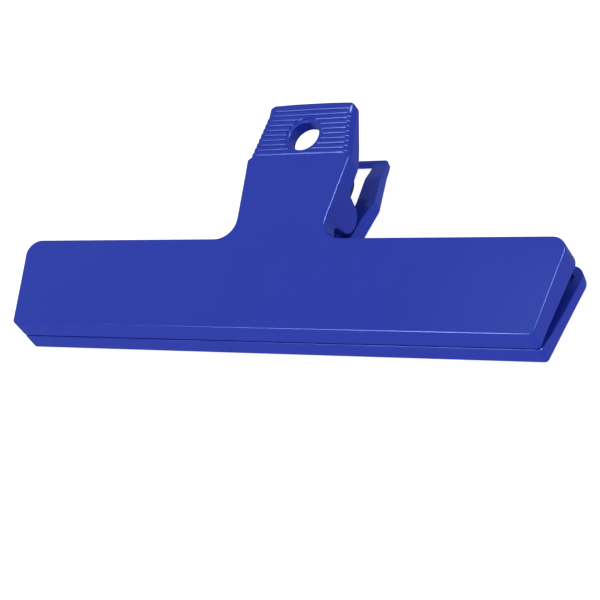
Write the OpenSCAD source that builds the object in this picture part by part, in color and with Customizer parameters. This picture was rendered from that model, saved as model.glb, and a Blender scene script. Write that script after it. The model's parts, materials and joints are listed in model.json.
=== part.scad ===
// Wide bag clip: two hollow jaw shells with squeeze handles, hinged on the ears of the
// front shell and pulled shut by a U-shaped band of spring steel between them.
// The clip lies on the flat outer face of its rear shell. X runs along the jaws,
// +Y from the mouth to the handles, +Z up through the front shell.

/* [Jaws] */
// Width across the jaws at their widest, just below the upper corners
jaw_width = 152.4; // [140:0.1:160]
// How much each end leans in between the upper corner and the mouth
jaw_taper = 4.2; // [3:0.1:5]
// Height of the front jaw, from the mouth edge to the neck
jaw_height = 24.6; // [24:0.1:24.8]
// Height of the rear jaw, from the mouth edge to the neck
rear_jaw_height = 25.8; // [25.2:0.1:26]
// Radius of the upper corners of the jaws
jaw_corner_r = 3.8; // [3.5:0.1:4.6]
// Radius of the curve between the jaws and the neck
neck_fillet_r = 5; // [4:0.5:6]
// Thickness of the two jaws together at the mouth
mouth_thick = 11.6; // [11.2:0.1:12.4]
// Gap that the closed lips keep
lip_gap = 0.2; // [0.1:0.05:0.3]

/* [Handles] */
// Width of the front shell's neck where it leaves the jaw
neck_width = 24.1; // [23.6:0.1:24.6]
// Width of the rear shell's neck where it leaves the jaw
rear_neck_width = 23.3; // [23:0.1:24]
// Width across the handles at their bend
bend_width = 29.2; // [28.8:0.1:30]
// Distance from the mouth edge to the bend
bend_dist = 47; // [46.5:0.1:47.5]
// Width of the front handle at its far end
grip_width = 24.3; // [23.8:0.1:24.8]
// Width of the rear handle at its far end
rear_grip_width = 23.4; // [23:0.1:24]
// Length of the front shell, from mouth edge to handle end
front_length = 63.9; // [63.5:0.1:64.2]
// Length of the rear shell, from mouth edge to handle end
rear_length = 63.6; // [63.2:0.1:64]
// Angle between the outer faces of the two shells
wedge_angle = 12.4; // [12:0.1:13]

/* [Shells] */
// Thickness of the outer faces
face_t = 2; // [1.6:0.1:2.2]
// Thickness of the side walls
wall_t = 2; // [1.6:0.1:2.2]
// Thickness of the lips at the mouth
lip_t = 3.2; // [3:0.1:3.6]
// Depth of the front shell's wall at the bend
grip_depth = 5.7; // [5.5:0.1:5.9]
// Depth of the rear jaw's walls at their far side from the mouth
rear_wall_depth = 3.8; // [3.6:0.1:4.2]
// Depth of the rear shell's side walls at the neck
neck_depth = 5.2; // [4.9:0.1:5.3]
// Depth of the rear handle's rails past the bend
rail_depth = 4.3; // [4.1:0.1:4.6]
// Width of the opening in the rear handle at the bend
window_width = 17.9; // [17.6:0.1:18.8]
// Width of the same opening at its far end
window_end_width = 16; // [15.8:0.1:17.6]
// Width of the bar that closes the opening
end_bar = 1.2; // [1.1:0.1:1.6]

/* [Grip] */
// Diameter of the hanging hole
hole_d = 8.2; // [7:0.1:9]
// Distance from the bend to the hole's centre
hole_dist = 7.1; // [6.8:0.1:7.4]
// Depth of the boss round the hole, from the face
boss_depth = 3.8; // [3.2:0.1:4]
// Number of ridges on the grip
ridge_count = 10; // [8:1:10]
// Distance from one ridge to the next
ridge_pitch = 1.45; // [1.4:0.01:1.5]
// Height of a ridge above the face
ridge_h = 0.45; // [0.3:0.05:0.6]

/* [Hinge] */
// Distance of the hinge axis from the mouth, along the front face
pivot_dist = 34.7; // [34.4:0.1:35]
// Depth of the hinge axis below the front face
pivot_depth = 9.35; // [9.2:0.05:9.5]
// Radius of the round tip of each ear
ear_r = 3.8; // [3.5:0.1:3.9]
// Diameter of the stub on each ear
stub_d = 4.4; // [4:0.1:4.6]
// Radial running clearance of the stub in its seat
stub_play = 0.05; // [0.03:0.01:0.1]

/* [Spring] */
// Width of the steel band
band_w = 16; // [14:0.5:16]
// Thickness of the steel band
band_t = 0.8; // [0.6:0.1:0.9]
// Outer radius of the band's bend
band_r = 3.1; // [2.8:0.1:3.2]

/* [Hidden] */

$fn = 64;
blue = [0.18, 0.25, 0.66];
steel = [0.42, 0.43, 0.45];
eps = 0.5;                                   // how far a cutting shape runs past a face
far = 100;                                   // longer than anything on the clip

front_share = 0.62;                          // the front face's share of the wedge angle
front_lean = wedge_angle * front_share;      // front face to the plane where the lips meet
rear_lean = wedge_angle - front_lean;        // rear face to the same plane
rear_mouth = mouth_thick / 2 - lip_gap / 2;  // depth of the rear lip
front_mouth = rear_mouth;                    // depth of the front lip
lip_start = -2;                              // the outline runs this far past the mouth edge
front_y = -sin(rear_lean) * mouth_thick;     // where the front face starts, behind the rear one
front_z = cos(rear_lean) * mouth_thick;      // and how high
mid_y = (rear_length + front_y) / 2;         // middle of the clip's length

// Each shell's outline: jaw height, neck width, bend width, length, end width, how much
// the handle narrows at the bend, and over what length to each side of it
front_size = [jaw_height, neck_width, bend_width, front_length, grip_width, 0.2, 0.8];
rear_size = [rear_jaw_height, rear_neck_width, bend_width, rear_length, rear_grip_width, 0.8, 2];
arc_steps = 10;                              // straight pieces in a rounded corner
ear_shift = [0.8, 0.35];                     // from the hinge axis to the ear tip's centre
end_chamfer = 1.2;

// The pivot in the clip's own frame
pivot_y = front_y + pivot_dist * cos(wedge_angle) + pivot_depth * sin(wedge_angle);
pivot_z = front_z + pivot_dist * sin(wedge_angle) - pivot_depth * cos(wedge_angle);
saddle_x = band_w / 2 + 0.5;                 // inner side of the hinge seats
saddle_w = 1.7;
saddle_half = 3.4;                           // half the length of a seat block

window_y = 40;                               // where the rear handle's opening starts
window_top = rear_length - end_bar;
rail_start = rear_jaw_height - wall_t;
neck_wall = 3;                               // thickness of the rear shell's walls at the neck
rail_low = rear_neck_width / 2 - neck_wall;
rail_bend = window_width / 2;

bend_y = 48.8;                               // centre of the spring's bend
bend_z = 8.9;
arm_r = band_r - band_t / 2;
rear_arm_end = [13, 3.95];
front_arm_end = [12.7, 9.9];
keeper_s = 14.5;                             // the keeper bars that the arms pull on
keeper_l = 4;
keeper_t = 1.4;
front_keeper_d = 6.1;
rear_keeper_z = 4.75;
keeper_w = 1.8;

bead_y = 1.1;                                // sealing bead on the rear lip
bead_r = 0.6;
bead_play = 0.25;
web_x = [28, 50];                            // stiffening webs inside the jaws
web_t = 1.2;
web_h = 1.4;
ridge_r = 0.8;
ridge_start = bend_dist + 2.25;
ridge_side = 1;                              // the ridges end this far inside the grip's edge

// Half width of a jaw and of a neck at distance s from the mouth
function jaw_half(size, s) = jaw_width / 2 - jaw_taper * (1 - s / size[0]);
function flare(size) = atan((size[2] - size[1]) / 2 / (bend_dist - size[0]));
function neck_half(size, s) = size[1] / 2 + (s - size[0]) * tan(flare(size));

// Half width of the front handle past the bend
function grip_half(s) =
    let (start = bend_width / 2 - front_size[5], from = bend_dist + front_size[6])
    start - (start - grip_width / 2) * (s - from) / (front_length - from);

// Inner edge of the rear handle's rails
function rail_inside(s) =
    rail_low + (rail_bend - rail_low) * (s - rail_start) / (bend_dist - rail_start);

// Points of an arc round a centre
function arc(centre, r, from, to) =
    [for (i = [0 : arc_steps])
        let (a = from + (to - from) * i / arc_steps) centre + r * [cos(a), sin(a)]];

// Closes a right half outline with its mirror image
module both_halves(right) {
    last = len(right) - 1;
    polygon(concat(right, [for (i = [last : -1 : 0]) [-right[i][0], right[i][1]]]));
}

// A jaw end's points: up from the mouth and round the upper corner, moved in by inset
function jaw_end(size, inset, mouth) =
    let (lean = atan(jaw_taper / size[0]), up = size[0] - jaw_corner_r)
    concat(
        [[jaw_half(size, mouth) - inset / cos(lean), mouth]],
        arc([jaw_half(size, up) - jaw_corner_r / cos(lean), up], jaw_corner_r - inset,
            -lean, 90));

// The curve between a jaw and its neck
function neck_curve(size, inset) =
    let (up = size[0] + neck_fillet_r, turn = flare(size))
    arc([neck_half(size, up) + neck_fillet_r / cos(turn), up], neck_fillet_r + inset,
        270, 180 - turn);

// Outline of a whole shell, moved in by inset
module outline(size, inset, mouth) {
    bend = size[2] / 2 - inset;
    tip = size[4] / 2 - inset;
    end = size[3] - inset;
    both_halves(concat(
        jaw_end(size, inset, mouth),
        neck_curve(size, inset),
        [[bend, bend_dist - size[6]], [bend - size[5], bend_dist + size[6]],
         [tip + 0.2, end - end_chamfer], [tip - end_chamfer, end]]));
}

// Sweeps a shape drawn as [distance from the mouth, height] along X
module across(width) {
    rotate([90, 0, 90]) linear_extrude(width, center = true) children();
}

// Puts a shape drawn below its own face onto the sloping front face
module on_front() {
    translate([0, front_y - mid_y, front_z]) rotate([wedge_angle, 0, 0]) children();
}

module on_rear() {
    translate([0, -mid_y, 0]) children();
}

// Side view of the front shell: rim line, ear and slanting lip
module front_profile() {
    lip_back = front_mouth * sin(front_lean);
    lip_deep = front_mouth * cos(front_lean);
    polygon(concat(
        [[0, 0], [-lip_back, -lip_deep], [3.2, -5.7], [23.2, -7.5], [24.8, -7.2],
         [27, -5.8], [30.3, -5.3]],
        arc([pivot_dist + ear_shift[0], -pivot_depth - ear_shift[1]], ear_r, 190, 350),
        [[40.3, -6.2], [46, -grip_depth - 0.1], [50, -grip_depth], [52.7, -5.3],
         [59, -3.7], [front_length + 1, -2.4], [front_length + 1, 0]]));
}

// Side view of the rear shell: rim line of jaws, neck and rails
module rear_profile() {
    lip_back = rear_mouth * sin(rear_lean);
    lip_deep = rear_mouth * cos(rear_lean);
    polygon([
        [0, 0], [-lip_back, lip_deep], [1.9, rear_mouth + 0.15], [3, 4.6],
        [15, rear_wall_depth], [25.8, rear_wall_depth], [28.8, neck_depth],
        [40, neck_depth], [46, rail_depth],
        [55.5, rail_depth - 0.1], [61, 2.3], [62.2, 2], [rear_length + 1, 2],
        [rear_length + 1, 0]
    ]);
}

module front_shell() {
    intersection() {
        translate([0, 0, -far / 2]) linear_extrude(far / 2) outline(front_size, 0, lip_start);
        across(2 * far) front_profile();
    }
}

module front_jaw() {
    color(blue) difference() {
        on_front() {
            difference() {
                front_shell();
                translate([0, 0, -far / 2])
                    linear_extrude(far / 2 - face_t) outline(front_size, wall_t, lip_t);
            }
            front_inside();
            grip_ridges();
        }
        on_front() translate([0, bend_dist + hole_dist, -far / 4])
            cylinder(d = hole_d, h = far / 2);
        bead(bead_r + bead_play);
    }
}

// Boss round the hanging hole, hinge stubs, keeper bar and webs of the front shell
module front_inside() {
    translate([0, bend_dist + hole_dist, -boss_depth])
        cylinder(r = hole_d / 2 + 2, h = boss_depth - face_t / 2);
    for (side = [-1, 1])
        mirror([side < 0 ? 1 : 0, 0]) {
            translate([saddle_x, pivot_dist, -pivot_depth]) rotate([0, 90, 0])
                cylinder(d = stub_d, h = neck_half(front_size, pivot_dist) - saddle_x - wall_t / 2);
            translate([saddle_x, keeper_s, -front_keeper_d - keeper_t])
                cube([keeper_w, keeper_l, front_keeper_d + keeper_t - face_t / 2]);
            for (x = web_x)
                translate([x, lip_t / 2, -face_t - web_h])
                    cube([web_t, jaw_height - lip_t, web_h + face_t / 2]);
        }
    translate([-saddle_x - keeper_w, keeper_s, -front_keeper_d - keeper_t])
        cube([2 * (saddle_x + keeper_w), keeper_l, keeper_t]);
}

// Rounded ridges across the grip, kept clear of the hanging hole
module grip_ridges() {
    difference() {
        for (i = [0 : ridge_count - 1])
            let (s = ridge_start + i * ridge_pitch, half = grip_half(s) - ridge_side)
                translate([-half, s, ridge_h - ridge_r]) rotate([0, 90, 0])
                    cylinder(r = ridge_r, h = 2 * half);
        translate([0, bend_dist + hole_dist, -eps])
            cylinder(r = hole_d / 2 + 0.9, h = ridge_h + 2 * eps);
    }
}

// Round bead along the rear lip
module bead(r) {
    half = jaw_half(rear_size, 0) - 3;
    on_rear() translate([-half, bead_y, rear_mouth])
        rotate([0, 90, 0]) cylinder(r = r, h = 2 * half);
}

module rear_jaw() {
    color(blue) {
        on_rear() intersection() {
            union() {
                linear_extrude(face_t) difference() {
                    outline(rear_size, 0, lip_start);
                    rear_window();
                }
                linear_extrude(far / 2) difference() {
                    outline(rear_size, 0, lip_start);
                    rear_hollow();
                }
            }
            across(2 * far) rear_profile();
        }
        rear_inside();
        bead(bead_r);
    }
}

// Opening of the rear handle's loop
module rear_window() {
    both_halves([[rail_inside(window_y), window_y], [rail_bend, bend_dist],
                 [window_end_width / 2, window_top]]);
}

// Hollow of the whole rear shell: between the jaw's walls and between the rails
module rear_hollow() {
    both_halves(concat(
        jaw_end(rear_size, wall_t, lip_t),
        [[rail_low, rail_start], [rail_bend, bend_dist],
         [window_end_width / 2, window_top]]));
}

// Hinge seats, keeper bar and webs of the rear shell
module rear_inside() {
    difference() {
        for (side = [-1, 1])
            mirror([side < 0 ? 1 : 0, 0]) on_rear()
                translate([saddle_x, pivot_y - saddle_half, face_t / 2])
                    cube([saddle_w, 2 * saddle_half, pivot_z - face_t / 2]);
        on_rear() translate([-far / 2, pivot_y, pivot_z])
            rotate([0, 90, 0]) cylinder(d = stub_d + 2 * stub_play, h = far);
    }
    on_rear() {
        for (side = [-1, 1])
            mirror([side < 0 ? 1 : 0, 0]) {
                translate([saddle_x, keeper_s, face_t / 2])
                    cube([keeper_w, keeper_l, rear_keeper_z + keeper_t - face_t / 2]);
                for (x = web_x)
                    translate([x, lip_t / 2, face_t / 2])
                        cube([web_t, rear_jaw_height - lip_t, web_h + face_t / 2]);
            }
        translate([-saddle_x - keeper_w, keeper_s, rear_keeper_z])
            cube([2 * (saddle_x + keeper_w), keeper_l, keeper_t]);
    }
}

// How far an arm leans when it runs from the bend to its end point
function arm_turn(end_point, side) =
    let (reach = [bend_y, bend_z] - end_point)
    atan2(reach[1], reach[0]) + side * asin(arm_r / norm(reach));

// One straight arm of the band, with its share of the bend
module arm(end_point, side) {
    reach = [bend_y, bend_z] - end_point;
    length = sqrt(reach * reach - arm_r * arm_r);
    translate([bend_y, bend_z]) rotate(arm_turn(end_point, side)) {
        translate([-length, side * arm_r - band_t / 2]) square([length + 0.01, band_t]);
        intersection() {
            difference() {
                circle(band_r);
                circle(band_r - band_t);
            }
            translate([0, side < 0 ? -2 * band_r : -band_r / 2])
                square([2 * band_r, 2.5 * band_r]);
        }
    }
}

module spring() {
    color(steel) on_rear() across(band_w) {
        arm(front_arm_end, 1);
        arm(rear_arm_end, -1);
    }
}

front_jaw();
rear_jaw();
spring();
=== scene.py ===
import json
import math

import bmesh
import bpy
import numpy as np
from mathutils import Matrix, Quaternion, Vector
from mathutils.geometry import delaunay_2d_cdt


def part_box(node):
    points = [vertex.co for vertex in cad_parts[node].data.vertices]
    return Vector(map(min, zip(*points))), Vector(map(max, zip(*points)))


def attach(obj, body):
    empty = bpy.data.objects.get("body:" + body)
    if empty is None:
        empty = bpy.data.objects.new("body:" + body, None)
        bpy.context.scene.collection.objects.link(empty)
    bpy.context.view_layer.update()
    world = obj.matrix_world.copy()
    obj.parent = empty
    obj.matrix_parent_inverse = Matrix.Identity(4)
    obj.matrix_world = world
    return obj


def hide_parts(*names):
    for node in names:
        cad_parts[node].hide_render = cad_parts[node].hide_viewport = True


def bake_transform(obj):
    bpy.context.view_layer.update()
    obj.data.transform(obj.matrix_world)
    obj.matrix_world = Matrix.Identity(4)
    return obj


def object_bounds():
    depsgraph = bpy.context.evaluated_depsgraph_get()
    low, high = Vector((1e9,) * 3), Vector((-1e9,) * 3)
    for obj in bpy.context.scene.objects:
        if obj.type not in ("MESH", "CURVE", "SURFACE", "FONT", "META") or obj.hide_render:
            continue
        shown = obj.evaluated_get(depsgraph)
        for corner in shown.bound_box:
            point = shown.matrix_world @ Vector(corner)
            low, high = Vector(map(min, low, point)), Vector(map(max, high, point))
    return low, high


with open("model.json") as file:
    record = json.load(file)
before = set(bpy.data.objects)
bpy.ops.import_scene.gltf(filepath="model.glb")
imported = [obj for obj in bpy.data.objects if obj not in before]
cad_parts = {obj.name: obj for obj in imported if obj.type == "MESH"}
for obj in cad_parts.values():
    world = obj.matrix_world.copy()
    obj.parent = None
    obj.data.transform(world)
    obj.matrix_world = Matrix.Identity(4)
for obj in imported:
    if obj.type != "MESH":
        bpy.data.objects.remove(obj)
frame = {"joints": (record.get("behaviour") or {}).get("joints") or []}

# A wide bag clip: two hollow plastic shells hinged on each other, with a steel band
# between them. Each shell is drawn in its own axes, in millimetres: x across the clip,
# s along the outer face from the mouth edge, and d in from the outer face.

MM = 0.001
cad_low, cad_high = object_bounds()

# ---------------------------------------------------------------- sizes, in millimetres
JAW_HALF = 76.2            # half width of the jaws at their upper corners
JAW_TAPER = 4.2            # each end leans in by this much down to the mouth
JAW_TOP = 24.6
REAR_JAW_TOP = 25.8
JAW_CORNER_R = 3.8
MOUTH_CORNER_R = 1.2
NECK_HALF = 12.05
REAR_NECK_HALF = 11.65
NECK_FILLET_R = 5.0
GRIP_START = (14.62, 47.2)  # half width and distance from the mouth at the bend
GRIP_END = (12.15, 63.6)
MOUTH_DEPTH = 5.7          # depth of either shell's lip
FRONT_LENGTH = 63.9
REAR_LENGTH = 63.6
WEDGE = math.radians(12.4)         # between the two outer faces
FRONT_LEAN = math.radians(7.69)    # front face to the plane where the lips meet
REAR_LEAN = math.radians(4.71)
FACE_T = 2.0
WALL_T = 2.0
LIP_T = 3.2
EDGE_R = 0.4               # rounding of the outer faces' edges
GRIP_EDGE_R = 2.0          # wider rounding along the grip, which the ridges run over
GRIP_EDGE_IN = (47.5, 1.3)         # where it widens, and over what length
GRIP_EDGE_OUT = ((60.4, 1.5, 0.35), (62.2, 1.5, 0.65))  # the same for it to go, in shares
REAR_EDGE_R = 0.9
TIP_EDGE_R = 0.45          # the same at the rear handle's end bar
TIP_EDGE_IN = (58.0, 3.0)
RIM_R = 0.25               # rounding of the rims
REAR_RIM_R = 0.2
WINDOW_EDGE_R = 0.3
HOLLOW = 0.04              # how far a straight edge bows in
REAR_WALL = 3.8            # depth of the rear jaw's walls at their far side
LIP_END_DEPTH = 4.7        # depth that the rear lip drops towards at its ends
LIP_END_IN = (70.2, 1.8)
LIP_END_SHARE = 0.6
RAIL_SINK = 0.5            # how much lower the rails are on the side of the opening
FLOOR_R = 0.6              # fillet between the inner walls and the floor

HOLE_S = 54.1              # hanging hole
HOLE_R = 4.1
BOSS_R = 6.1
BOSS_DEPTH = 3.8
HOLE_EDGE_R = 0.3
BOSS_FOOT_R = 0.4
RIDGE_COUNT = 10
RIDGE_PITCH = 1.45
RIDGE_START = 49.25
RIDGE_H = 0.45
RIDGE_R = 0.8
RIDGE_MARGIN = 0.9         # smooth ring round the hole
RIDGE_FADE = 0.22          # the ridges rise out of that ring over this length
RIDGE_FADE_CUT = 0.07      # the mesh is cut here on the way up
RIDGE_DROOP = 0.15         # how much lower the ridges are at their ends
DROOP_LENGTH = 2.8
ROW_GAP = 0.3              # the rows of points along the ridges stop this far from edges
ROW_STEPS = (0.0, 0.6, 1.4, 2.6)   # places of a row's points, from its end in
LAST_ROW = 1.2             # no row closer than this to the end of the shell

PIVOT_S = 34.7             # the hinge axis in the front shell's axes
PIVOT_D = 9.35
EAR_S = 35.5               # centre of each ear's round tip
EAR_D = 9.7
EAR_R = 3.8
STUB_R = 2.2
STUB_EMBED = 0.7           # how far the stub runs past the neck's narrow end, into the ear
SEAT_PLAY = 0.05
SEAT_X = 8.5
SEAT_W = 1.7
SEAT_HALF = 3.4

KEEPER_S = 14.5            # the bars that the spring's arms pull on
KEEPER_L = 4.0
KEEPER_T = 1.4
KEEPER_W = 1.8
FRONT_KEEPER_D = 6.1
REAR_KEEPER_D = 4.75
WEB_X = (28.0, 50.0)
WEB_T = 1.2
WEB_H = 1.4
EMBED = 0.5                # how far a web or a post runs into the wall it stands on
BEAD_S = 1.1               # bead on the rear lip, and the groove for it in the front lip
BEAD_R = 0.6
BEAD_PLAY = 0.25
BEAD_HALF = 68.4
GROOVE_HALF = 68.6

WINDOW_START = 40.0        # opening of the rear handle
WINDOW_END = 62.4
BAND_HALF = 8.2            # steel band
BAND_T = 0.8
BAND_R = 3.1
BEND_S = 48.8
BEND_D = 8.9
REAR_ARM_END = (13.0, 3.95)
FRONT_ARM_END = (12.7, 9.9)
GRID_STEP = 4.0            # spacing of the points inside the flat faces


# ---------------------------------------------------------------- the shells' own axes
LEAN_REACH = 4.0                   # the mouth wall's lean fades out over this length


def smooth(value):
    """Eases from 0 to 1."""
    value = min(max(value, 0.0), 1.0)
    return value * value * (3 - 2 * value)


class Axes:
    """A shell's own axes in the row frame."""

    def __init__(self, origin, along, inward, mouth_lean):
        self.origin, self.along, self.inward = origin, along, inward
        self.mouth_lean = math.tan(mouth_lean)

    def at(self, x, s, d):
        return self.origin + (self.along * s + self.inward * d + Vector((x, 0, 0))) * MM

    def leaning(self, x, s, d):
        """Like at, but the mouth wall leans out with depth, so that it stands square
        to the plane where the lips meet."""
        shift = self.mouth_lean * d * smooth((LEAN_REACH - s) / LEAN_REACH)
        return self.at(x * (1 - shift * JAW_TAPER / JAW_TOP / JAW_HALF), s - shift, d)


hinge = frame["joints"][0]
pivot = Vector(hinge["pos_m"])
front_along = Vector((0, math.cos(WEDGE), math.sin(WEDGE)))
front_inward = Vector((0, math.sin(WEDGE), -math.cos(WEDGE)))
front_origin = pivot - (front_along * PIVOT_S + front_inward * PIVOT_D) * MM
rear_low, rear_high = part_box("rear_jaw")
rear_origin = Vector((0, rear_high.y - REAR_LENGTH * MM, rear_low.z))
FRONT = Axes(front_origin, front_along, front_inward, FRONT_LEAN)
REAR = Axes(rear_origin, Vector((0, 1, 0)), Vector((0, 0, 1)), REAR_LEAN)
PIVOT_REAR_S = (pivot.y - rear_origin.y) / MM
PIVOT_REAR_D = pivot.z / MM


# ---------------------------------------------------------------- mesh building
class Builder:
    """Collects faces and welds them into one closed mesh."""

    def __init__(self):
        self.points, self.faces = [], []

    def add(self, points, faces):
        start = len(self.points)
        self.points.extend(points)
        self.faces.extend([tuple(start + i for i in f) for f in faces])

    def loft(self, rings, closed=True):
        """Quads between neighbouring rings of equally many points."""
        count = len(rings[0])
        points = [p for ring in rings for p in ring]
        faces = []
        for r in range(len(rings) - 1):
            for i in range(count if closed else count - 1):
                j = (i + 1) % count
                faces.append((r * count + i, r * count + j,
                              (r + 1) * count + j, (r + 1) * count + i))
        self.add(points, faces)

    def cap(self, ring):
        self.add(ring, [tuple(range(len(ring)))])

    def sheet(self, loops, place, rows=(), dots=()):
        """Triangles over the area inside the first loop and outside the others. Rows
        are open lines of points, and dots single points, that the triangles also use."""
        points, edges = [], []
        for loop in loops:
            start = len(points)
            points.extend(loop)
            edges.extend([(start + i, start + (i + 1) % len(loop)) for i in range(len(loop))])
        for row in rows:
            start = len(points)
            points.extend(row)
            edges.extend([(start + i, start + i + 1) for i in range(len(row) - 1)])
        points.extend(dots)
        flat = [Vector((p[0], p[1])) for p in points]
        verts, _, faces, _, _, _ = delaunay_2d_cdt(flat, edges, [], 1, 1e-7)
        kept = []
        for f in faces:
            middle = sum((verts[i] for i in f), Vector((0, 0))) / len(f)
            if inside(middle, loops[0]) and not any(inside(middle, l) for l in loops[1:]):
                kept.append(tuple(f))
        self.add([place(v.x, v.y) for v in verts], kept)

    def block(self, axes, low, high, bevel):
        """A box between two corners (x, s, d), with rounded edges."""
        bm = bmesh.new()
        bmesh.ops.create_cube(bm, size=1.0)
        low, high = Vector(low), Vector(high)
        for v in bm.verts:
            v.co = Vector([low[k] + (v.co[k] + 0.5) * (high[k] - low[k]) for k in range(3)])
        bmesh.ops.bevel(bm, geom=list(bm.edges), offset=bevel, segments=3, profile=0.5,
                        affect="EDGES", clamp_overlap=True)
        bm.verts.index_update()
        self.add([axes.at(*v.co) for v in bm.verts],
                 [tuple(v.index for v in f.verts) for f in bm.faces])
        bm.free()

    def rod(self, axes, x0, x1, s, d, radius, bevel, steps=32):
        """A round bar along x."""
        rings = []
        for x, r in rounded_ends(x0, x1, radius, bevel):
            rings.append([axes.at(x, s + r * math.cos(a), d + r * math.sin(a))
                          for a in np.arange(steps) * 2 * math.pi / steps])
        self.loft(rings)
        self.cap(rings[0])
        self.cap(rings[-1])

    def object(self, name, sharp_deg=35):
        mesh = bpy.data.meshes.new(name)
        mesh.from_pydata([tuple(p) for p in self.points], [], self.faces)
        bm = bmesh.new()
        bm.from_mesh(mesh)
        bmesh.ops.delete(bm, geom=[v for v in bm.verts if not v.link_faces], context="VERTS")
        bmesh.ops.remove_doubles(bm, verts=bm.verts, dist=2e-6)
        bmesh.ops.dissolve_degenerate(bm, edges=bm.edges, dist=1e-7)
        bmesh.ops.recalc_face_normals(bm, faces=bm.faces)
        limit = math.radians(sharp_deg)
        for e in bm.edges:
            e.smooth = len(e.link_faces) == 2 and e.calc_face_angle(0) < limit
        for f in bm.faces:
            f.smooth = True
        bm.to_mesh(mesh)
        bm.free()
        obj = bpy.data.objects.new(name, mesh)
        bpy.context.scene.collection.objects.link(obj)
        weighted = obj.modifiers.new("weighted", "WEIGHTED_NORMAL")
        weighted.keep_sharp = True
        weighted.weight = 60
        return obj


def inside(point, loop):
    """Whether a point (x, s) lies inside a closed loop of points."""
    x, y = point
    a = np.asarray(loop, float)
    b = np.roll(a, -1, axis=0)
    crosses = (a[:, 1] > y) != (b[:, 1] > y)
    a, b = a[crosses], b[crosses]
    reach = a[:, 0] + (y - a[:, 1]) / (b[:, 1] - a[:, 1]) * (b[:, 0] - a[:, 0])
    return int((reach > x).sum()) % 2 == 1


def quarter(steps):
    """A quarter turn, as pairs that fall from 1 to 0 and rise from 0 to 1."""
    turns = [math.pi / 2 * k / steps for k in range(steps + 1)]
    return [(1 - math.sin(a), 1 - math.cos(a)) for a in turns]


def rounded_ends(x0, x1, radius, bevel):
    """(x, radius) stations of a bar with rounded ends."""
    turn = quarter(3)
    first = [(x0 + bevel * fall, radius - bevel * rise) for fall, rise in reversed(turn)]
    last = [(x1 - bevel * fall, radius - bevel * rise) for fall, rise in turn]
    return first + last


# ---------------------------------------------------------------- outlines
MOUTH_LEVEL = 0.02                 # corners this close to the lowest one are at the mouth
MOUTH_FADE = 15.0                  # the mouth's inset moves the cuts up to this far from it
CORNER_LEAST_R = 0.15


class Outline:
    """A shell's closed outline. Corners are (x, s, radius, stations), the right half
    from the mouth up, closed by its mirror image. The stations are the values of s at
    which the edge that follows the corner is cut."""

    def __init__(self, corners, arc_steps=8):
        right = list(corners)
        left = [(-x, s, r, ()) for x, s, r, _ in reversed(corners)]
        stations = [c[3] for c in corners[:-1]]
        self.cuts = stations + [()] + [tuple(reversed(c)) for c in reversed(stations)] + [()]
        self.vertices = np.array([(c[0], c[1]) for c in right + left], float)
        self.radii = [c[2] for c in right + left]
        self.arc_steps = arc_steps

    def ring(self, inset, mouth_inset=None):
        """Points and tangents of the outline moved in by inset. The mouth edge can have
        an inset of its own."""
        v = self.vertices
        n = len(v)
        direction = np.roll(v, -1, axis=0) - v
        direction /= np.linalg.norm(direction, axis=1)[:, None]
        normal = np.stack([-direction[:, 1], direction[:, 0]], axis=1)
        insets = np.full(n, float(inset))
        if mouth_inset is not None:
            low = v[:, 1] < v[:, 1].min() + MOUTH_LEVEL
            insets[low & np.roll(low, -1)] = mouth_inset
        points, tangents = [], []
        for i in range(n):
            e0, e1 = direction[i - 1], direction[i]
            n0, n1 = normal[i - 1], normal[i]
            turn = math.atan2(e0[0] * e1[1] - e0[1] * e1[0], float(e0 @ e1))
            if abs(turn) < 1e-4:
                corner = v[i] + n1 * insets[i]
            else:
                corner = v[i] + np.linalg.solve(
                    np.array([n0, n1]), np.array([insets[i - 1], insets[i]]))
            radius = self.radii[i]
            if radius == 0:
                points.append(corner)
                middle = e0 + e1
                tangents.append(middle / np.linalg.norm(middle))
            else:
                sign = 1 if turn > 0 else -1
                r = max(radius - sign * inset, CORNER_LEAST_R)
                start = corner - e0 * r * math.tan(abs(turn) / 2)
                centre = start + sign * n0 * r
                for k in range(self.arc_steps + 1):
                    a = turn * k / self.arc_steps
                    c, si = math.cos(a), math.sin(a)
                    spin = np.array([[c, -si], [si, c]])
                    points.append(centre - spin @ (sign * n0 * r))
                    tangents.append(spin @ e0)
            for s in self.cuts[i]:
                s += max(mouth_inset or 0.0, 0.0) * max(1 - s / MOUTH_FADE, 0.0)
                base = v[i] + n1 * insets[i]
                share = (s - v[i][1]) / (v[(i + 1) % n][1] - v[i][1])
                hollow = HOLLOW * 4 * share * (1 - share)
                points.append(base + e1 * (s - base[1]) / e1[1] + n1 * hollow)
                tangents.append(e1)
        return np.array(points), np.array(tangents)


def between(start, stop, step):
    return tuple(np.linspace(start, stop, max(2, int(round((stop - start) / step)) + 1)))


# ---------------------------------------------------------------- front shell
def ear_arc():
    turns = np.radians(np.linspace(170, 10, 17))
    return [(EAR_S + EAR_R * math.cos(a), EAR_D + EAR_R * math.sin(a)) for a in turns]


FRONT_RIM = ([(-1.0, 5.65), (0.0, 5.65), (3.2, 5.70), (23.2, 7.5), (24.6, 7.3),
              (25.6, 6.6), (27.0, 5.85), (28.5, 5.45), (30.2, 5.3), (30.7, 5.9)]
             + ear_arc()
             + [(39.8, 8.3), (40.3, 6.4), (40.9, 6.1), (46.0, 5.8), (50.0, 5.65),
                (52.7, 5.2), (55.2, 4.6), (59.0, 3.7), (62.3, 2.8), (65.0, 2.4)])
NECK_STATIONS = tuple(sorted({round(p[0], 3) for p in ear_arc()}
                             | set(np.round(np.linspace(30.6, 31.4, 3), 3))
                             | set(np.round(np.linspace(39.5, 40.4, 4), 3))
                             | set(np.round(np.linspace(41.0, 46.0, 6), 3))))
GRIP_CUTS = (48.4, 60.6)           # between the rounded corners at the grip's two ends


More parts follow.
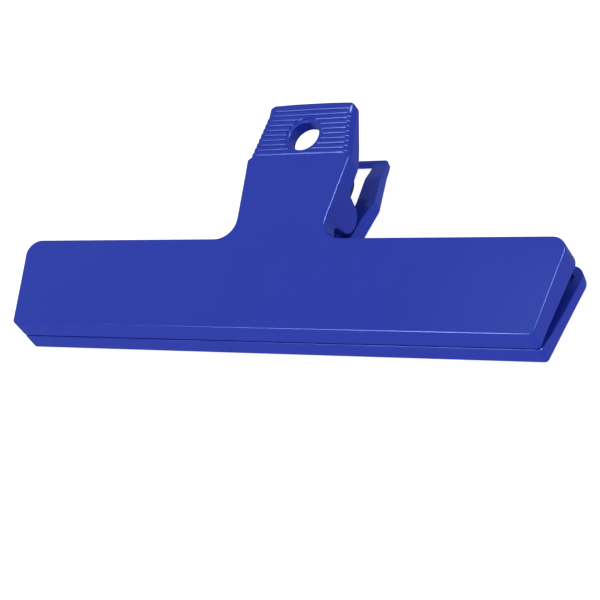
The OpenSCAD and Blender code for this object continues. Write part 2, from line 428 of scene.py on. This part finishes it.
def rim_depth(rim, s):
    return float(np.interp(s, [p[0] for p in rim], [p[1] for p in rim]))


def rim_normal(rim, s, tangent):
    """Outward normal of the rim line within the wall: (along the wall, inward)."""
    slope = (rim_depth(rim, s + 0.08) - rim_depth(rim, s - 0.08)) / 0.16 * tangent[1]
    length = math.hypot(1, slope)
    return -slope / length, 1 / length


def ridge(s):
    """Height of the grip's ridges above the face at distance s from the mouth."""
    k = round((s - RIDGE_START) / RIDGE_PITCH)
    if not 0 <= k < RIDGE_COUNT:
        return 0.0
    off = s - RIDGE_START - k * RIDGE_PITCH
    sunk = RIDGE_R - RIDGE_H
    return max(math.sqrt(max(RIDGE_R ** 2 - off ** 2, 0)) - sunk, 0.0)


def ridge_stations():
    reach = RIDGE_PITCH / 2
    offsets = [-1, -0.84, -0.6, -0.3, 0, 0.3, 0.6, 0.84]
    found = [RIDGE_START + k * RIDGE_PITCH + o * reach
             for k in range(RIDGE_COUNT) for o in offsets]
    return found + [found[0] + RIDGE_COUNT * RIDGE_PITCH]


def grip_half(s):
    """Half width of the grip at distance s from the mouth."""
    share = (s - GRIP_START[1]) / (GRIP_END[1] - GRIP_START[1])
    return GRIP_START[0] + (GRIP_END[0] - GRIP_START[0]) * share


def front_outline():
    grip = tuple(s for s in ridge_stations() if GRIP_CUTS[0] < s < GRIP_CUTS[1])
    return Outline([
        (GROOVE_HALF, 0.012, 0, ()),
        (GROOVE_HALF + 0.2, 0.01, 0, ()),
        (JAW_HALF - JAW_TAPER, 0.0, MOUTH_CORNER_R, between(2.4, 18.6, 2.7)),
        (JAW_HALF, JAW_TOP, JAW_CORNER_R, ()),
        (NECK_HALF, JAW_TOP, NECK_FILLET_R, NECK_STATIONS),
        (*GRIP_START, 2.5, grip),
        (*GRIP_END, 1.8, ()),
        (5.0, FRONT_LENGTH - 0.05, 0, ()),
    ])


def front_edge(s):
    """Radius of the front face's edge at distance s from the mouth."""
    wide = smooth((s - GRIP_EDGE_IN[0]) / GRIP_EDGE_IN[1])
    for start, length, share in GRIP_EDGE_OUT:
        wide -= share * smooth((s - start) / length)
    return EDGE_R + (GRIP_EDGE_R - EDGE_R) * wide


def rear_edge(s):
    share = smooth((s - TIP_EDGE_IN[0]) / TIP_EDGE_IN[1])
    return REAR_EDGE_R + (TIP_EDGE_R - REAR_EDGE_R) * share


def edge_loop(outline, radius, into):
    """The outline moved in by the edge's own radius times into, with each point's
    radius."""
    base, _ = outline.ring(0.0)
    radii = np.array([radius(s) for _, s in base])
    low, high = radii.min(), radii.max()
    near, tangents = outline.ring(low * into)
    far, _ = outline.ring(high * into)
    share = ((radii - low) / max(high - low, 1e-9))[:, None]
    return near + (far - near) * share, tangents, radii


def edge_rings(outline, axes, radius, lift=None, steps=7):
    """Rings of the rounding between the outer face and the wall, from the face out."""
    rings = []
    for k in range(steps + 1):
        a = math.pi / 2 * k / steps
        points, tangents, radii = edge_loop(outline, radius, 1 - math.sin(a))
        ring = []
        for (x, s), t, r in zip(points, tangents, radii):
            h = lift(x, s) * math.cos(a) if lift else 0.0
            out = np.array([t[1], -t[0]]) * h * math.sin(a)
            ring.append(axes.leaning(x + out[0], s + out[1],
                                     r * (1 - math.cos(a)) - h * math.cos(a)))
        rings.append(ring)
    return rings


def rim_rings(outer_ring, inner_ring, rim, axes, radius, across, shape, sink=None):
    """Rings over the rim of a wall, from its outer side to its inner side. Each ring
    function gives the points and tangents at a distance into the wall. The shape
    function moves the finished points, and sink lowers the rim on its inner side."""
    def place(points, tangents, drop, share):
        ring = []
        for (x, s), t in zip(points, tangents):
            along, deep = rim_normal(rim, s, t)
            d = rim_depth(rim, s) - deep * drop - (sink(s) * share if sink else 0.0)
            ring.append(shape(axes.leaning(x - t[0] * along * drop,
                                           s - t[1] * along * drop, d)))
        return ring

    turn = quarter(4)
    rings = [place(*outer_ring(radius * rise), radius * fall, 0.0) for fall, rise in turn]
    outer_points, outer_tangents = outer_ring(radius)
    inner_points, _ = inner_ring(radius)
    for k in range(1, across):
        share = k / across
        middle = outer_points + (inner_points - outer_points) * share
        rings.append(place(middle, outer_tangents, 0.0, share))
    rings += [place(*inner_ring(radius * rise), radius * fall, 1.0)
              for fall, rise in reversed(turn)]
    return rings


def rail_sink(s):
    """How much lower the rear handle's rails are on the side of the opening."""
    return RAIL_SINK * float(np.interp(s, (34.0, 42.0, 58.0, 62.0), (0.0, 1.0, 1.0, 0.2)))


def bead_groove(point):
    """Moves a point of the front lip clear of the rear lip's bead."""
    if abs(point.x) > (GROOVE_HALF + 0.05) * MM:
        return point
    centre = REAR.at(0, BEAD_S, MOUTH_DEPTH)
    offset = (point - centre) / MM
    along, inward = offset.dot(FRONT.along), offset.dot(FRONT.inward)
    radius = BEAD_R + BEAD_PLAY
    if abs(along) >= radius:
        return point
    limit = -math.sqrt(radius ** 2 - along ** 2)
    return point + FRONT.inward * (min(inward, limit) - inward) * MM


def lip_ends(point):
    """Lowers the rear lip to the end wall's depth near its two ends."""
    share = LIP_END_SHARE * smooth((abs(point.x) / MM - LIP_END_IN[0]) / LIP_END_IN[1])
    spare = max((point.z - rear_origin.z) / MM - LIP_END_DEPTH, 0.0)
    return point - Vector((0, 0, share * spare * MM))


def circle(radius, count=72):
    turns = np.arange(count) * 2 * math.pi / count
    return [(radius * math.cos(a), HOLE_S + radius * math.sin(a)) for a in turns]


def jaw_grid():
    """Points inside a jaw's flat face."""
    return [(x, s) for s in np.arange(3.0, 22.0, GRID_STEP)
            for x in np.arange(-68.0, 69.0, GRID_STEP)]


def floor_grid():
    """The same, for the floor of its hollow."""
    return [(x, s) for x, s in jaw_grid() if 5 < s < 20 and abs(x) < 66]


def keeper_and_webs(shell, axes, keeper_d, jaw_top):
    """The bar that an arm of the spring pulls on, its two posts, and the webs."""
    for side in (-1, 1):
        posts = sorted((side * SEAT_X, side * (SEAT_X + KEEPER_W)))
        shell.block(axes, (posts[0], KEEPER_S, FACE_T - EMBED),
                    (posts[1], KEEPER_S + KEEPER_L, keeper_d + KEEPER_T), 0.25)
        for x in WEB_X:
            web = sorted((side * x, side * (x + WEB_T)))
            shell.block(axes, (web[0], LIP_T - EMBED, FACE_T - EMBED),
                        (web[1], jaw_top - WALL_T + EMBED, FACE_T + WEB_H), 0.2)
    reach = SEAT_X + KEEPER_W - 0.1
    shell.block(axes, (-reach, KEEPER_S + 0.01, keeper_d),
                (reach, KEEPER_S + KEEPER_L - 0.01, keeper_d + KEEPER_T - 0.01), 0.3)


def build_front():
    shell = Builder()
    outline = front_outline()
    margin = HOLE_R + RIDGE_MARGIN

    def lift(x, s):
        """Height of the ridged face, with the ridges drooping towards the sides and
        ending at the smooth ring round the hole."""
        ring = (math.hypot(x, s - HOLE_S) - margin) / RIDGE_FADE
        droop = (abs(x) - grip_half(s) + DROOP_LENGTH) / DROOP_LENGTH
        droop = min(max(droop, 0.0), 1.0)
        height = max(ridge(s) - RIDGE_DROOP * droop * droop, 0.0)
        return height * min(max(ring, 0.0), 1.0) ** 0.5

    outer = edge_rings(outline, FRONT, front_edge, lift)
    rim = rim_rings(outline.ring, lambda u: outline.ring(WALL_T - u, LIP_T - u),
                    FRONT_RIM, FRONT, RIM_R, across=12, shape=bead_groove)
    shell.loft(outer + rim)

    floor = []
    for fall, rise in quarter(4):
        push = FLOOR_R * rise
        ring, _ = outline.ring(WALL_T + push, LIP_T + push)
        floor.append([FRONT.leaning(x, s, FACE_T + FLOOR_R * fall) for x, s in ring])
    shell.loft([rim[-1]] + floor)
    floor_ring, _ = outline.ring(WALL_T + FLOOR_R, LIP_T + FLOOR_R)

    # hole and boss
    bore = [(HOLE_R + HOLE_EDGE_R * fall, HOLE_EDGE_R * rise) for fall, rise in quarter(5)]
    for fall, rise in quarter(4):
        bore.append((HOLE_R + HOLE_EDGE_R * rise, BOSS_DEPTH - HOLE_EDGE_R * fall))
    for fall, rise in quarter(4):
        bore.append((BOSS_R - HOLE_EDGE_R * fall, BOSS_DEPTH - HOLE_EDGE_R * rise))
    for fall, rise in quarter(4):
        bore.append((BOSS_R + BOSS_FOOT_R * rise, FACE_T + BOSS_FOOT_R * fall))
    shell.loft([[FRONT.at(x, s, d) for x, s in circle(r)] for r, d in bore])

    # outer face, with rows of points along the ridges
    face_loop, _, _ = edge_loop(outline, front_edge, 1.0)
    rows = []
    for s in ridge_stations():
        if s > FRONT_LENGTH - LAST_ROW:
            continue
        half = grip_half(s) - GRIP_EDGE_R - ROW_GAP
        xs = [half - step for step in ROW_STEPS]
        gap = margin + ROW_GAP
        if abs(s - HOLE_S) < gap:
            inner = math.sqrt(gap ** 2 - (s - HOLE_S) ** 2) + 0.05
            xs = [x for x in xs if x > inner + 0.2] + [inner]
            rows.append([(x, s) for x in xs])
            rows.append([(-x, s) for x in xs])
        else:
            rows.append([(x, s) for x in xs] + [(-x, s) for x in reversed(xs)])
    face_loops = [face_loop, circle(HOLE_R + HOLE_EDGE_R)]
    for step in (0.0, RIDGE_FADE_CUT, RIDGE_FADE):
        ring = circle(margin + step, 96)
        rows.append(ring + ring[:1])
    neck = [(x, s) for s in np.arange(25.0, 46.0, GRID_STEP)
            for x in np.arange(-8.0, 9.0, GRID_STEP)]
    shell.sheet(face_loops, lambda x, s: FRONT.leaning(x, s, -lift(x, s)), rows,
                jaw_grid() + neck)
    shell.sheet([floor_ring, circle(BOSS_R + BOSS_FOOT_R)],
                lambda x, s: FRONT.leaning(x, s, FACE_T), dots=floor_grid())

    for side in (-1, 1):
        ends = sorted((side * SEAT_X, side * (NECK_HALF + STUB_EMBED)))
        shell.rod(FRONT, ends[0], ends[1], PIVOT_S, PIVOT_D, STUB_R, 0.25)
    keeper_and_webs(shell, FRONT, FRONT_KEEPER_D, JAW_TOP)
    return shell.object("front_shell")


# ---------------------------------------------------------------- rear shell
REAR_RIM = [(-1.0, 5.68), (0.0, 5.68), (1.9, 5.84), (3.0, 4.6), (8.0, 4.2),
            (15.0, REAR_WALL), (25.8, REAR_WALL), (27.6, 4.8), (28.8, 5.2), (40.0, 5.2),
            (44.0, 4.6), (46.0, 4.35), (49.0, 4.25),
            (55.5, 4.15), (58.0, 3.4), (61.0, 2.3), (62.2, 2.02), (65.0, 2.0)]


def rear_outline():
    return Outline([
        (JAW_HALF - JAW_TAPER, 0.0, MOUTH_CORNER_R, between(2.4, 19.2, 2.8)),
        (JAW_HALF, REAR_JAW_TOP, JAW_CORNER_R, ()),
        (REAR_NECK_HALF, REAR_JAW_TOP, NECK_FILLET_R,
         between(31.6, 39.0, 1.0) + (WINDOW_START,) + between(41.0, 45.0, 1.0)),
        (14.5, 46.6, 4.0, between(48.4, 60.4, 1.0)),
        (11.9, REAR_LENGTH, 1.3, ()),
    ])


def rear_inner():
    """Inner side of the rear shell's wall: round the jaws' hollow, up the neck and
    round the opening of the handle."""
    return Outline([
        (JAW_HALF - JAW_TAPER - 2.6, LIP_T, 0.4, between(4.5, 18.0, 2.3)),
        (JAW_HALF - 2.4, REAR_JAW_TOP - WALL_T, 2.0, ()),
        (8.65, REAR_JAW_TOP - WALL_T, 1.0,
         between(31.6, 39.0, 1.0) + (WINDOW_START,) + between(41.0, 45.0, 1.0)),
        (8.95, 46.6, 4.0, between(48.2, 60.2, 1.0)),
        (8.0, WINDOW_END, 0.9, ()),
    ])


def rear_floor_fillet(s):
    return FLOOR_R * min(max((WINDOW_START - s) / 3.0, 0.0), 1.0)


def build_rear():
    shell = Builder()
    outline, inner = rear_outline(), rear_inner()
    outer = edge_rings(outline, REAR, rear_edge)
    rim = rim_rings(outline.ring, lambda u: inner.ring(-u), REAR_RIM, REAR, REAR_RIM_R,
                    across=8, shape=lip_ends, sink=rail_sink)
    shell.loft(outer + rim)

    # the columns of points at the handle's opening run from right to left over its end
    base, _ = inner.ring(0)
    at_window = [i for i in range(len(base)) if base[i][1] > WINDOW_START - 1e-6]
    right, left = at_window[0], at_window[-1]
    at_floor = list(range(left, len(base))) + list(range(0, right + 1))
    edge = WINDOW_EDGE_R
    profile = []                       # (into the wall, along, height) down the edge
    for fall, rise in quarter(3):
        profile.append((0.0, -edge * fall, FACE_T - edge * rise))
    for fall, rise in quarter(3):
        profile.append((edge * rise, -edge * rise, edge * fall))
    strips, edge_strip = [[rim[-1][i] for i in at_window]], []
    for into, along, height in profile:
        points, _ = inner.ring(-into)
        strip = []
        for i in at_window:
            x, s = points[i]
            if i in (right, left):
                s = WINDOW_START + along
            lowest = (rim[-1][i].z - rear_origin.z) / MM
            strip.append(REAR.leaning(x, s, min(height, lowest)))
        strips.append(strip)
        edge_strip.append([strip[0], strip[-1]])
    shell.loft(strips, closed=False)
    shell.loft(edge_strip, closed=False)
    window_points, _ = inner.ring(-edge)
    window = [(x, WINDOW_START - edge if i in (right, left) else s)
              for i, (x, s) in enumerate(window_points) if i in set(at_window)]

    insets = {}

    def inner_at(inset, index):
        """One point of the wall's inner side, with the rings kept for the next call."""
        key = round(inset, 4)
        if key not in insets:
            insets[key] = inner.ring(key)[0]
        return insets[key][index]

    floor = [[rim[-1][i] for i in at_floor]]
    for fall, rise in quarter(4):
        strip = []
        for i in at_floor:
            fillet = rear_floor_fillet(base[i][1])
            x, s = inner_at(fillet * rise, i)
            if i in (right, left):
                s = WINDOW_START - edge
            strip.append((x, s, FACE_T + fillet * fall))
        floor.append([REAR.leaning(*p) for p in strip])
    shell.loft(floor, closed=False)
    floor_loop = [(p[0], p[1]) for p in strip]

    face_loop, _, _ = edge_loop(outline, rear_edge, 1.0)
    shell.sheet([face_loop, window], lambda x, s: REAR.leaning(x, s, 0.0), dots=jaw_grid())
    shell.sheet([floor_loop], lambda x, s: REAR.leaning(x, s, FACE_T), dots=floor_grid())

    for side in (-1, 1):
        seat(shell, side)
    keeper_and_webs(shell, REAR, REAR_KEEPER_D, REAR_JAW_TOP)
    shell.rod(REAR, -BEAD_HALF, BEAD_HALF, BEAD_S, MOUTH_DEPTH, BEAD_R, 0.4)
    return shell.object("rear_shell")


def seat(shell, side):
    """Half-round seat that a stub of the front shell turns in."""
    reach = STUB_R + SEAT_PLAY
    low, high = PIVOT_REAR_S - SEAT_HALF, PIVOT_REAR_S + SEAT_HALF
    shape = [(low, FACE_T - EMBED), (high, FACE_T - EMBED), (high, PIVOT_REAR_D)]
    for a in np.linspace(0, math.pi, 17):
        shape.append((PIVOT_REAR_S + reach * math.cos(a), PIVOT_REAR_D - reach * math.sin(a)))
    shape.append((low, PIVOT_REAR_D))
    x0, x1 = sorted((side * SEAT_X, side * (SEAT_X + SEAT_W)))
    bm = bmesh.new()
    face = bm.faces.new([bm.verts.new((x0, s, d)) for s, d in shape])
    moved = bmesh.ops.extrude_face_region(bm, geom=[face])["geom"]
    for v in moved:
        if isinstance(v, bmesh.types.BMVert):
            v.co.x = x1
    bmesh.ops.recalc_face_normals(bm, faces=bm.faces)
    corners = [e for e in bm.edges if e.calc_face_angle(0) > math.radians(40)]
    bmesh.ops.bevel(bm, geom=corners, offset=0.2, segments=2, profile=0.5, affect="EDGES",
                    clamp_overlap=True)
    bm.verts.index_update()
    shell.add([REAR.at(*v.co) for v in bm.verts],
              [tuple(v.index for v in f.verts) for f in bm.faces])
    bm.free()


# ---------------------------------------------------------------- spring
def arm_points(end, side, steps=24):
    """Centre line of one straight arm, from its end to where the bend starts, and the
    direction from the bend's centre to that point."""
    bend = np.array([BEND_S, BEND_D])
    reach = bend - np.array(end)
    radius = BAND_R - BAND_T / 2
    turn = math.atan2(reach[1], reach[0]) + side * math.asin(radius / np.linalg.norm(reach))
    length = math.sqrt(reach @ reach - radius ** 2)
    direction = np.array([math.cos(turn), math.sin(turn)])
    normal = side * np.array([-direction[1], direction[0]])
    touch = bend + normal * radius
    return [touch + direction * length * (k / steps - 1) for k in range(steps + 1)], normal


def build_spring():
    """Steel band bent into a U, with rounded edges."""
    lower, low_normal = arm_points(REAR_ARM_END, -1)
    upper, up_normal = arm_points(FRONT_ARM_END, 1)
    start = math.atan2(low_normal[1], low_normal[0])
    stop = math.atan2(up_normal[1], up_normal[0])
    radius = BAND_R - BAND_T / 2
    bend = [np.array([BEND_S + radius * math.cos(a), BEND_D + radius * math.sin(a)])
            for a in np.linspace(start, stop, 33)]
    path = lower[:-1] + bend + upper[-2::-1]
    half, thick, r = BAND_HALF, BAND_T / 2, 0.25
    section = []
    for cx, cy, a0 in ((half - r, thick - r, 0), (-half + r, thick - r, 90),
                       (-half + r, -thick + r, 180), (half - r, -thick + r, 270)):
        for k in range(4):
            a = math.radians(a0 + 30 * k)
            section.append((cx + r * math.cos(a), cy + r * math.sin(a)))
    band = Builder()
    rings = []
    for i, p in enumerate(path):
        ahead = path[min(i + 1, len(path) - 1)] - path[max(i - 1, 0)]
        ahead = ahead / np.linalg.norm(ahead)
        out = np.array([ahead[1], -ahead[0]])
        rings.append([REAR.at(x, *(p + out * y)) for x, y in section])
    band.loft(rings)
    band.cap(rings[0])
    band.cap(rings[-1])
    return band.object("spring_band")


front_shell = build_front()
rear_shell = build_rear()
spring_band = build_spring()


# ---------------------------------------------------------------- materials
class Nodes:
    """A short way to build a material's nodes."""

    def __init__(self, name):
        self.material = bpy.data.materials.new(name)
        self.material.use_nodes = True
        self.tree = self.material.node_tree
        self.shader = self.tree.nodes["Principled BSDF"]

    def add(self, kind, settings=None, inputs=None):
        node = self.tree.nodes.new(kind)
        for name, value in (settings or {}).items():
            setattr(node, name, value)
        for name, value in (inputs or {}).items():
            socket = node.inputs[name]
            if isinstance(value, bpy.types.NodeSocket):
                self.tree.links.new(value, socket)
            else:
                socket.default_value = value
        return node

    def link(self, output, name):
        self.tree.links.new(output, self.shader.inputs[name])

    def noise(self, where, scale, detail=4.0, rough=0.5):
        return self.add("ShaderNodeTexNoise", inputs={
            "Vector": where, "Scale": scale, "Detail": detail, "Roughness": rough})

    def ramp(self, value, low, high):
        """Maps 0 to 1 on low to high, which are numbers."""
        return self.add("ShaderNodeMapRange", inputs={
            "Value": value, "To Min": low, "To Max": high})

    def mix(self, share, a, b):
        node = self.add("ShaderNodeMix", {"data_type": "RGBA"})
        self.tree.links.new(share, node.inputs["Factor"])
        node.inputs[6].default_value, node.inputs[7].default_value = (*a, 1), (*b, 1)
        return node.outputs[2]


def plastic():
    """Satin royal blue moulded plastic: faint cloudiness in the colour, a fine mould
    texture and a slightly uneven gloss."""
    m = Nodes("blue_plastic")
    where = m.add("ShaderNodeTexCoord").outputs["Object"]
    cloud = m.noise(where, 55.0, 3.0)
    m.link(m.mix(cloud.outputs["Fac"], (0.0150, 0.0345, 0.385), (0.0175, 0.0395, 0.415)),
           "Base Color")
    patches = m.noise(where, 160.0, 4.0)
    m.link(m.ramp(patches.outputs["Fac"], 0.15, 0.21).outputs["Result"], "Roughness")
    grain = m.noise(where, 2600.0, 3.0, 0.6)
    swell = m.noise(where, 90.0, 2.0)
    fine = m.add("ShaderNodeBump", inputs={
        "Height": grain.outputs["Fac"], "Strength": 0.10, "Distance": 0.00006})
    broad = m.add("ShaderNodeBump", inputs={
        "Height": swell.outputs["Fac"], "Strength": 0.15, "Distance": 0.0002,
        "Normal": fine.outputs["Normal"]})
    m.link(broad.outputs["Normal"], "Normal")
    m.shader.inputs["IOR"].default_value = 1.49
    m.shader.inputs["Specular IOR Level"].default_value = 0.4
    m.shader.inputs["Specular Tint"].default_value = (0.4, 0.55, 1.0, 1)
    return m.material


def steel():
    """Dark tempered spring steel, with rolling marks along the band and faint stains."""
    m = Nodes("spring_steel")
    where = m.add("ShaderNodeTexCoord").outputs["Object"]
    stretched = m.add("ShaderNodeMapping", inputs={"Vector": where, "Scale": (60.0, 1.0, 1.0)})
    lines = m.noise(stretched.outputs["Vector"], 60.0, 5.0, 0.65)
    stains = m.noise(where, 220.0, 4.0)
    m.link(m.mix(stains.outputs["Fac"], (0.020, 0.021, 0.025), (0.042, 0.042, 0.044)),
           "Base Color")
    m.link(m.ramp(lines.outputs["Fac"], 0.30, 0.50).outputs["Result"], "Roughness")
    bump = m.add("ShaderNodeBump", inputs={
        "Height": lines.outputs["Fac"], "Strength": 0.2, "Distance": 0.00005})
    m.link(bump.outputs["Normal"], "Normal")
    m.shader.inputs["Metallic"].default_value = 1.0
    return m.material


blue, grey = plastic(), steel()
front_shell.data.materials.append(blue)
rear_shell.data.materials.append(blue)
spring_band.data.materials.append(grey)

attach(front_shell, "front")
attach(rear_shell, "rear")
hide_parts("front_jaw")
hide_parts("rear_jaw")
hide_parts("spring")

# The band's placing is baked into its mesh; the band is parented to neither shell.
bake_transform(spring_band)


# ---------------------------------------------------------------- camera, stage, light
CAM_TARGET = Vector((0.01081, -0.02376, 0.012))
CAM_AZIMUTH = math.radians(41.725)
CAM_ELEVATION = math.radians(41.831)
CAM_ROLL = math.radians(-30.016)
CAM_DISTANCE = 0.39967
CAM_LENS = 101.08

camera = bpy.data.objects.new("camera", bpy.data.cameras.new("camera"))
bpy.context.scene.collection.objects.link(camera)
back = Vector((math.sin(CAM_AZIMUTH) * math.cos(CAM_ELEVATION),
               -math.cos(CAM_AZIMUTH) * math.cos(CAM_ELEVATION), math.sin(CAM_ELEVATION)))
camera.location = CAM_TARGET + back * CAM_DISTANCE
camera.rotation_mode = "QUATERNION"
camera.rotation_quaternion = ((-back).to_track_quat("-Z", "Y")
                              @ Quaternion((0, 0, 1), CAM_ROLL))
camera.data.lens = CAM_LENS
camera.data.sensor_width = 36.0
camera.data.clip_start, camera.data.clip_end = 0.01, 20.0
bpy.context.scene.camera = camera


def area_light(name, position, size, radiance, shine_only=False):
    """A soft box aimed at the clip, with its first side towards +X. One that is shine_only is
    seen in the gloss and adds nothing to the colour."""
    data = bpy.data.lights.new(name, "AREA")
    data.shape = "RECTANGLE"
    data.size, data.size_y = size
    data.energy = radiance * math.pi * size[0] * size[1]
    light = bpy.data.objects.new(name, data)
    light.visible_diffuse = not shine_only
    z = Vector(position).normalized()
    x = Vector((1, 0, 0))
    x = (x - z * x.dot(z)).normalized()
    turned = Matrix((x, z.cross(x), z)).transposed()
    light.location = position
    light.rotation_mode = "QUATERNION"
    light.rotation_quaternion = turned.to_quaternion()
    bpy.context.scene.collection.objects.link(light)


FLOOR_HALF = 3.0
FLOOR_GAP = 0.0002                 # the clip lies this far above the floor
floor_mesh = bpy.data.meshes.new("floor")
floor_mesh.from_pydata(
    [(x * FLOOR_HALF, y * FLOOR_HALF, 0) for x, y in ((-1, -1), (1, -1), (1, 1), (-1, 1))],
    [], [(0, 1, 2, 3)])
floor = bpy.data.objects.new("floor", floor_mesh)
floor.location.z = cad_low.z - FLOOR_GAP
floor.visible_glossy = False
bpy.context.scene.collection.objects.link(floor)
pale = bpy.data.materials.new("pale_floor")
pale.use_nodes = True
pale_inputs = pale.node_tree.nodes["Principled BSDF"].inputs
pale_inputs["Base Color"].default_value = (0.5, 0.5, 0.5, 1)
pale_inputs["Roughness"].default_value = 1.0
pale_inputs["Specular IOR Level"].default_value = 0.0
pale_inputs["Emission Color"].default_value = (1, 1, 1, 1)
pale_inputs["Emission Strength"].default_value = 0.84
floor_mesh.materials.append(pale)

# A white sky that is dimmer below the horizon and on the far side, so that the walls and
# the rims don't mirror it.
LEAST_LIGHT = 0.22
HORIZON_LIGHT = 0.18
SKY_LIGHT = 0.8
FAR_SIDE_SHARE = 0.4
world = bpy.data.worlds.new("world")
bpy.context.scene.world = world
world.use_nodes = True
sky = world.node_tree
background = sky.nodes["Background"]
background.inputs["Color"].default_value = (1, 1, 1, 1)
direction = sky.nodes.new("ShaderNodeTexCoord")
split = sky.nodes.new("ShaderNodeSeparateXYZ")
sky.links.new(direction.outputs["Generated"], split.inputs["Vector"])


def sky_ramp(axis, start, stop, low, high):
    """Goes from low to high as the direction's part along an axis goes from start to
    stop."""
    ramp = sky.nodes.new("ShaderNodeMapRange")
    for socket, value in (("From Min", start), ("From Max", stop), ("To Min", low),
                          ("To Max", high)):
        ramp.inputs[socket].default_value = value
    sky.links.new(split.outputs[axis], ramp.inputs["Value"])
    return ramp.outputs["Result"]


def sky_math(operation, first, second):
    node = sky.nodes.new("ShaderNodeMath")
    node.operation = operation
    for socket, value in zip(node.inputs, (first, second)):
        if isinstance(value, bpy.types.NodeSocket):
            sky.links.new(value, socket)
        else:
            socket.default_value = value
    return node.outputs["Value"]


height = sky_ramp("Z", -0.05, 0.15, HORIZON_LIGHT, SKY_LIGHT)
far_side = sky_ramp("Y", 0.35, 0.65, 1.0, FAR_SIDE_SHARE)
strength = sky_math("MAXIMUM", sky_math("MULTIPLY", height, far_side), LEAST_LIGHT)
sky.links.new(strength, background.inputs["Strength"])
bpy.context.scene.view_settings.view_transform = "Standard"
bpy.context.scene.view_settings.look = "None"

# The top box lights the faces. The others only draw thin highlights: two along the mouth
# edge, brighter towards the right, and one down the right edges.
area_light("top", (0.0, -0.1, 1.0), (0.8, 0.8), 1.15)
area_light("mouth_side", (-0.44, -0.72, 0.33), (0.12, 0.36), 13.0, True)
area_light("mouth_end", (-0.31, -0.76, 0.34), (0.14, 0.40), 36.0, True)
area_light("end_side", (0.36, 0.19, 0.78), (0.40, 0.26), 34.0, True)
